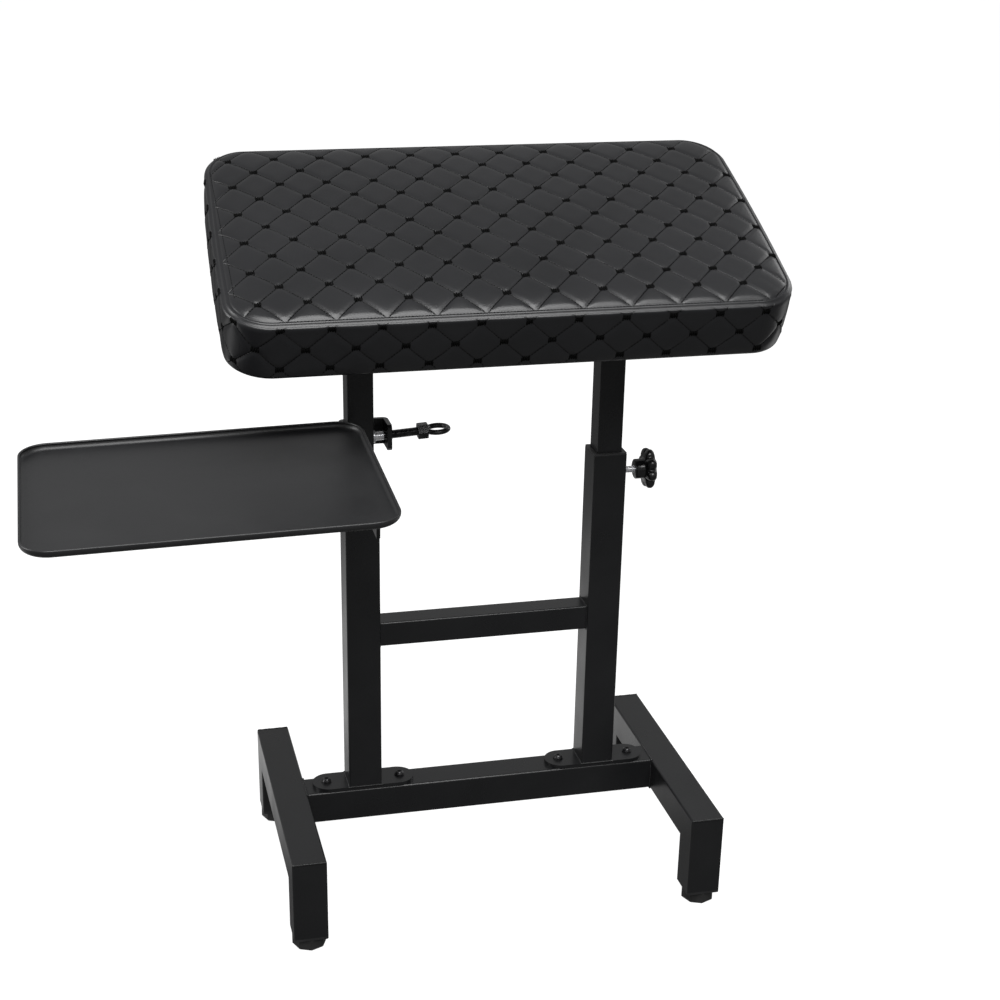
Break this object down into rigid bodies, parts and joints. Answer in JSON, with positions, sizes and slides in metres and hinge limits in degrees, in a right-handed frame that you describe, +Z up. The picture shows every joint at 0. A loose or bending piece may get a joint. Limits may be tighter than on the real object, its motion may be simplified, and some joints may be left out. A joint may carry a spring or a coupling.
{
  "type": "tattoo arm rest stand",
  "caption": "Arm rest stand: H-shaped steel base, telescoping posts with star knobs, tilting quilted pad and a tool tray clamped to a post.",
  "frame": {"origin": "middle of the whole stand's outline, on the floor", "axes": "+X to the right along the pad's long side and the cross beam, +Y to the rear along the foot rails, +Z up along the posts; the tray is on the left, at -X, and the viewer stands at -Y"},
  "size_m": [0.8194, 0.454, 0.8586],
  "materials": {
    "powder_coat": "satin black powder coat",
    "tray_paint": "matt fine-textured black powder coat",
    "black_steel": "black oxide",
    "zinc": "bright zinc plate",
    "black_plastic": "moulded",
    "knob_plastic": "fine-grained moulding",
    "glide_plastic": "moulded",
    "upholstery": "satin quilted synthetic leather",
    "foam": "open-cell foam",
    "plywood": "raw plywood",
    "dust_cover": "thin non-woven cloth"
  },
  "bodies": {
    "base": {"left_foot_rail": "powder_coat", "right_foot_rail": "powder_coat", "front_left_leg": "powder_coat", "rear_left_leg": "powder_coat", "front_right_leg": "powder_coat", "rear_right_leg": "powder_coat", "leg_plugs": "black_plastic", "cross_beam": "powder_coat", "left_post_plate": "powder_coat", "right_post_plate": "powder_coat", "plate_bolts": "black_steel", "plate_washers": "black_steel", "plate_nuts": "black_steel", "left_post": "powder_coat", "right_post": "powder_coat", "crossbar": "powder_coat", "left_weld_nut": "zinc", "right_weld_nut": "zinc", "left_guide_bush": "black_plastic", "right_guide_bush": "black_plastic"},
    "front_left_glide": {"front_left_glide": "glide_plastic"},
    "rear_left_glide": {"rear_left_glide": "glide_plastic"},
    "front_right_glide": {"front_right_glide": "glide_plastic"},
    "rear_right_glide": {"rear_right_glide": "glide_plastic"},
    "left_lock_stud": {"left_lock_stud": "zinc"},
    "right_lock_stud": {"right_lock_stud": "zinc"},
    "left_lock_knob": {"left_lock_knob": "knob_plastic"},
    "right_lock_knob": {"right_lock_knob": "knob_plastic"},
    "sliding_frame": {"left_slide_tube": "powder_coat", "right_slide_tube": "powder_coat", "left_tube_foot": "black_plastic", "right_tube_foot": "black_plastic", "left_tube_cap": "black_plastic", "right_tube_cap": "black_plastic", "left_pivot_bolt": "zinc", "right_pivot_bolt": "zinc", "friction_washers": "black_plastic"},
    "left_tilt_washer": {"left_tilt_washer": "zinc"},
    "right_tilt_washer": {"right_tilt_washer": "zinc"},
    "left_tilt_knob": {"left_tilt_knob": "knob_plastic"},
    "right_tilt_knob": {"right_tilt_knob": "knob_plastic"},
    "pad": {"left_tilt_bracket": "powder_coat", "right_tilt_bracket": "powder_coat", "bracket_screws": "zinc", "pad_board": "plywood", "pad_foam": "foam", "pad_cover": "upholstery", "pad_dust_cover": "dust_cover"},
    "tray_holder": {"clamp_channel": "powder_coat", "tray_arm": "powder_coat", "tray_strap": "powder_coat", "tray": "tray_paint"},
    "pressure_cup": {"pressure_cup": "zinc"},
    "eye_screw": {"clamp_screw": "black_steel", "screw_collar": "black_steel", "screw_ring": "black_steel"}
  },
  "joints": [
    {"name": "height_slide", "type": "slide", "parent": "base", "child": "sliding_frame", "axis": [0, 0, 1], "range_m": [-0.016, 0.13]},
    {"name": "pad_tilt", "type": "hinge", "parent": "sliding_frame", "child": "pad", "pos_m": [0.10872, 0.06749, 0.719], "axis": [1, 0, 0], "range_deg": [-51.5, 8.5]},
    {"name": "tray_slide", "type": "slide", "parent": "sliding_frame", "child": "tray_holder", "axis": [0, 0, 1], "range_m": [0, 0.05]},
    {"name": "cup_slide", "type": "slide", "parent": "tray_holder", "child": "pressure_cup", "axis": [0.9981, 0, 0.061], "range_m": [0, 0.0031]},
    {"name": "screw_turn", "type": "hinge", "parent": "pressure_cup", "child": "eye_screw", "pos_m": [-0.00608, 0.06749, 0.5595], "axis": [0.9981, 0, 0.061], "range_deg": [0, 720]},
    {"name": "left_stud_slide", "type": "slide", "parent": "base", "child": "left_lock_stud", "axis": [-1, 0, 0], "range_m": [0, 0.0026]},
    {"name": "left_lock_turn", "type": "hinge", "parent": "left_lock_stud", "child": "left_lock_knob", "pos_m": [-0.03728, 0.06749, 0.499], "axis": [-1, 0, 0], "range_deg": [0, 720]},
    {"name": "left_washer_slide", "type": "slide", "parent": "sliding_frame", "child": "left_tilt_washer", "axis": [-1, 0, 0], "range_m": [0, 0.0026]},
    {"name": "left_tilt_turn", "type": "hinge", "parent": "left_tilt_washer", "child": "left_tilt_knob", "pos_m": [-0.03728, 0.06749, 0.719], "axis": [-1, 0, 0], "range_deg": [0, 720]},
    {"name": "right_stud_slide", "type": "slide", "parent": "base", "child": "right_lock_stud", "axis": [1, 0, 0], "range_m": [0, 0.0026]},
    {"name": "right_lock_turn", "type": "hinge", "parent": "right_lock_stud", "child": "right_lock_knob", "pos_m": [0.25472, 0.06749, 0.499], "axis": [1, 0, 0], "range_deg": [0, 720]},
    {"name": "right_washer_slide", "type": "slide", "parent": "sliding_frame", "child": "right_tilt_washer", "axis": [1, 0, 0], "range_m": [0, 0.0026]},
    {"name": "right_tilt_turn", "type": "hinge", "parent": "right_tilt_washer", "child": "right_tilt_knob", "pos_m": [0.25472, 0.06749, 0.719], "axis": [1, 0, 0], "range_deg": [0, 720]},
    {"name": "front_left_glide_turn", "type": "hinge", "parent": "base", "child": "front_left_glide", "pos_m": [-0.12828, -0.08701, 0], "axis": [0, 0, 1], "range_deg": [-720, 720]},
    {"name": "front_right_glide_turn", "type": "hinge", "parent": "base", "child": "front_right_glide", "pos_m": [0.34572, -0.08701, 0], "axis": [0, 0, 1], "range_deg": [-720, 720]},
    {"name": "rear_left_glide_turn", "type": "hinge", "parent": "base", "child": "rear_left_glide", "pos_m": [-0.12828, 0.20699, 0], "axis": [0, 0, 1], "range_deg": [-720, 720]},
    {"name": "rear_right_glide_turn", "type": "hinge", "parent": "base", "child": "rear_right_glide", "pos_m": [0.34572, 0.20699, 0], "axis": [0, 0, 1], "range_deg": [-720, 720]}
  ],
  "couplings": [
    {"joint": "cup_slide", "follows": "screw_turn", "m_per_rad": 0.00023873},
    {"joint": "left_stud_slide", "follows": "left_lock_turn", "m_per_rad": 0.00019894},
    {"joint": "left_washer_slide", "follows": "left_tilt_turn", "m_per_rad": 0.00019894},
    {"joint": "right_stud_slide", "follows": "right_lock_turn", "m_per_rad": 0.00019894},
    {"joint": "right_washer_slide", "follows": "right_tilt_turn", "m_per_rad": 0.00019894}
  ]
}
